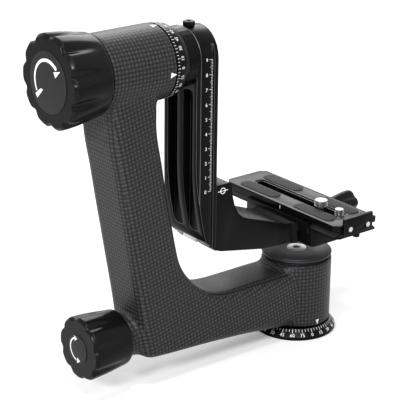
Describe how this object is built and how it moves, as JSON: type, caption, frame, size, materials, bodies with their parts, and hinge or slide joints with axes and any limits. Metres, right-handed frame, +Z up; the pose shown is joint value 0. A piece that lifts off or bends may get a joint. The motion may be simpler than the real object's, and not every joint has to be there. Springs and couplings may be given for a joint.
{
  "type": "gimbal tripod head",
  "caption": "Gimbal tripod head: a C-shaped carbon frame pans on a round base and carries a tilting swing arm with a height-adjustable cradle and a quick-release plate.",
  "frame": {"origin": "centre of the tripod thread's mouth in the flat underside of the base, on the pan axis", "axes": "+Z up along the pan axis, +X from the frame's upright towards the clamp knob along the tilt axis, +Y towards the long end of the clamped plate that has no end block"},
  "size_m": [0.2629, 0.1214, 0.2507],
  "materials": {
    "carbon": "satin woven carbon fibre",
    "anodised": "satin black anodised",
    "plate": "satin black anodised",
    "knob": "satin black",
    "disc": "matt dark grey",
    "steel": "bright turned steel",
    "brass": "plain turned brass",
    "rubber": "matt ribbed rubber",
    "polymer": "plain bearing polymer"
  },
  "bodies": {
    "base": {"base_ring": "anodised", "thread_insert": "brass", "pan_spindle": "steel", "hub_cap": "anodised", "cap_shim": "anodised", "cap_screw": "steel"},
    "frame": {"arm_body": "carbon", "pan_bush_lower": "polymer", "pan_bush_upper": "polymer", "tilt_bush_outer": "polymer", "tilt_bush_inner": "polymer", "tilt_lock_nut": "anodised", "pan_lock_collar": "anodised"},
    "pan_lock": {"pan_knob": "knob", "pan_knob_disc": "disc", "pan_rod": "steel"},
    "pan_brake": {"pan_brake_shoe": "brass"},
    "tilt_lock": {"tilt_knob": "knob", "tilt_knob_disc": "disc", "tilt_rod": "steel"},
    "tilt_brake": {"tilt_brake_pad": "brass"},
    "swing": {"tilt_shaft": "anodised", "tilt_ring": "anodised", "tilt_cone": "anodised", "swing_arm": "anodised"},
    "arm_top_screw": {"arm_screw": "anodised"},
    "cradle": {"cradle": "anodised", "height_runner": "steel", "runner_screw_1": "steel", "runner_screw_2": "steel", "guide_pin_front": "steel", "guide_pin_rear": "steel"},
    "height_lock": {"height_knob": "knob"},
    "height_brake": {"height_brake_pad": "brass"},
    "moving_jaw": {"clamp_jaw": "anodised", "clamp_washer": "steel"},
    "clamp_screw": {"clamp_knob": "knob", "clamp_rod": "steel"},
    "plate": {"plate": "plate", "end_block": "anodised", "pad_front_left": "rubber", "pad_front_right": "rubber", "pad_rear_left": "rubber", "pad_rear_right": "rubber", "block_screw_left": "steel", "block_screw_right": "steel", "stop_screw_front": "steel", "stop_screw_rear": "steel"},
    "big_screw_slider": {"three_eighths_washer": "polymer"},
    "big_screw": {"three_eighths_screw": "steel"},
    "small_screw_slider": {"quarter_washer": "polymer"},
    "small_screw": {"quarter_screw": "steel"}
  },
  "joints": [
    {"name": "pan", "type": "hinge", "parent": "base", "child": "frame", "pos_m": [0, 0, 0.036], "axis": [0, 0, 1], "continuous": true},
    {"name": "pan_lock_turn", "type": "hinge", "parent": "frame", "child": "pan_lock", "pos_m": [-0.17, 0, 0.036], "axis": [1, 0, 0], "range_deg": [0, 160]},
    {"name": "pan_brake_press", "type": "slide", "parent": "frame", "child": "pan_brake", "axis": [1, 0, 0], "range_m": [0, 0.00056]},
    {"name": "tilt_lock_turn", "type": "hinge", "parent": "frame", "child": "tilt_lock", "pos_m": [-0.19, 0, 0.221], "axis": [1, 0, 0], "range_deg": [0, 160]},
    {"name": "tilt_brake_press", "type": "slide", "parent": "frame", "child": "tilt_brake", "axis": [1, 0, 0], "range_m": [0, 0.00056]},
    {"name": "tilt", "type": "hinge", "parent": "frame", "child": "swing", "pos_m": [-0.12, 0, 0.221], "axis": [1, 0, 0], "continuous": true},
    {"name": "arm_screw_turn", "type": "hinge", "parent": "swing", "child": "arm_top_screw", "pos_m": [-0.10115, 0, 0.24], "axis": [0, 0, 1], "continuous": true},
    {"name": "height", "type": "slide", "parent": "swing", "child": "cradle", "axis": [0, 0, 1], "range_m": [0, 0.0926]},
    {"name": "height_lock_turn", "type": "hinge", "parent": "cradle", "child": "height_lock", "pos_m": [-0.0849, 0.03, 0.11], "axis": [0, -1, 0], "range_deg": [0, 160]},
    {"name": "height_brake_press", "type": "slide", "parent": "cradle", "child": "height_brake", "axis": [-1, 0, 0], "range_m": [0, 0.0005]},
    {"name": "jaw_open", "type": "slide", "parent": "cradle", "child": "moving_jaw", "axis": [1, 0, 0], "range_m": [0, 0.00375]},
    {"name": "clamp_turn", "type": "hinge", "parent": "moving_jaw", "child": "clamp_screw", "pos_m": [0.04, 0, 0.0834], "axis": [1, 0, 0], "range_deg": [0, 900]},
    {"name": "plate_slide", "type": "slide", "parent": "cradle", "child": "plate", "axis": [0, 1, 0], "range_m": [-0.0143, 0.0143]},
    {"name": "big_screw_slide", "type": "slide", "parent": "plate", "child": "big_screw_slider", "axis": [0, 1, 0], "range_m": [0, 0.06]},
    {"name": "big_screw_turn", "type": "hinge", "parent": "big_screw_slider", "child": "big_screw", "pos_m": [0, -0.0235, 0.095], "axis": [0, 0, 1], "continuous": true},
    {"name": "small_screw_slide", "type": "slide", "parent": "plate", "child": "small_screw_slider", "axis": [0, 1, 0], "range_m": [0, 0.0078]},
    {"name": "small_screw_turn", "type": "hinge", "parent": "small_screw_slider", "child": "small_screw", "pos_m": [0, -0.042, 0.095], "axis": [0, 0, 1], "continuous": true}
  ],
  "couplings": [
    {"joint": "pan_brake_press", "follows": "pan_lock_turn", "m_per_rad": 0.00020053},
    {"joint": "tilt_brake_press", "follows": "tilt_lock_turn", "m_per_rad": 0.00020053},
    {"joint": "height_brake_press", "follows": "height_lock_turn", "m_per_rad": 0.00017905},
    {"joint": "jaw_open", "follows": "clamp_turn", "m_per_rad": 0.00023873}
  ]
}
